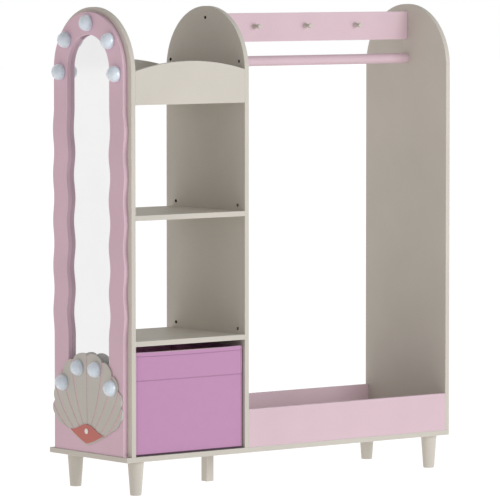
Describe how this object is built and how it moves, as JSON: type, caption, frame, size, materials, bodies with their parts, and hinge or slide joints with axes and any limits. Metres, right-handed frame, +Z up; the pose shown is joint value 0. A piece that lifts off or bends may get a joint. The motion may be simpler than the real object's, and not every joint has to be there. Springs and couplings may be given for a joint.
{
  "type": "dress up storage unit",
  "caption": "Child's dress up storage unit with an arched mirror on one end, shelves, a top tray, a fabric bin, and a hanging bay with rod, hooks and toy tray.",
  "frame": {"origin": "on the floor, under the middle of the unit's bounding box", "axes": "+X to the right, from the mirror's end to the hanging bay; +Y to the back; +Z up"},
  "size_m": [0.997, 0.3, 1.12],
  "materials": {
    "cream_paint": "satin cream paint on fibreboard",
    "pink_paint": "satin pink paint on fibreboard and wood",
    "frame_paint": "satin pink paint on fibreboard",
    "shell_paint": "satin warm grey paint, with pink rays in shallow grooves",
    "coral_paint": "satin coral paint",
    "pearl": "pale blue pearl gloss",
    "white_button": "white gloss",
    "mirror_sheet": "silvered acrylic sheet",
    "orchid_cloth": "plain woven non-woven cloth",
    "lining_cloth": "plain dark lining",
    "grey_board": "bare stiff board",
    "zinc_steel": "zinc plated",
    "black_steel": "black zinc",
    "insert_brass": "plain brass",
    "beech": "bare beech"
  },
  "bodies": {
    "cabinet": {"base_board": "cream_paint", "left_upright": "cream_paint", "middle_upright": "cream_paint", "right_upright": "cream_paint", "upper_shelf": "cream_paint", "lower_shelf": "cream_paint", "tray_bottom": "cream_paint", "tray_front": "cream_paint", "tray_back": "cream_paint", "toy_tray_front": "pink_paint", "toy_tray_back": "pink_paint", "hook_rail": "pink_paint", "left_hook": "cream_paint", "middle_hook": "cream_paint", "right_hook": "cream_paint", "clothes_rod": "pink_paint", "mirror_frame": "frame_paint", "mirror_sheet": "mirror_sheet", "shell_plate": "shell_paint", "shell_hinge": "coral_paint", "hinge_button": "white_button", "arch_pearl_1": "pearl", "arch_pearl_2": "pearl", "arch_pearl_3": "pearl", "arch_pearl_4": "pearl", "arch_pearl_5": "pearl", "shell_pearl_1": "pearl", "shell_pearl_2": "pearl", "shell_pearl_3": "pearl", "shell_pearl_4": "pearl", "front_left_leg": "cream_paint", "front_right_leg": "cream_paint", "back_left_leg": "cream_paint", "back_right_leg": "cream_paint", "support_leg": "cream_paint", "leg_bolts": "zinc_steel", "leg_inserts": "insert_brass", "base_screws": "zinc_steel", "side_screws": "black_steel", "dowels": "beech", "cam_locks": "zinc_steel", "cam_bolts": "zinc_steel", "frame_screws": "zinc_steel", "hook_screws": "zinc_steel", "arch_pearl_screws": "zinc_steel", "shell_pearl_screws": "zinc_steel"},
    "bin": {"bin_outer": "orchid_cloth", "bin_lining": "lining_cloth", "bin_front_board": "grey_board", "bin_back_board": "grey_board", "bin_left_board": "grey_board", "bin_right_board": "grey_board", "bin_bottom_board": "grey_board"}
  },
  "joints": [
    {"name": "bin_slide", "type": "slide", "parent": "cabinet", "child": "bin", "axis": [0, -1, 0], "range_m": [0, 0.25]}
  ]
}
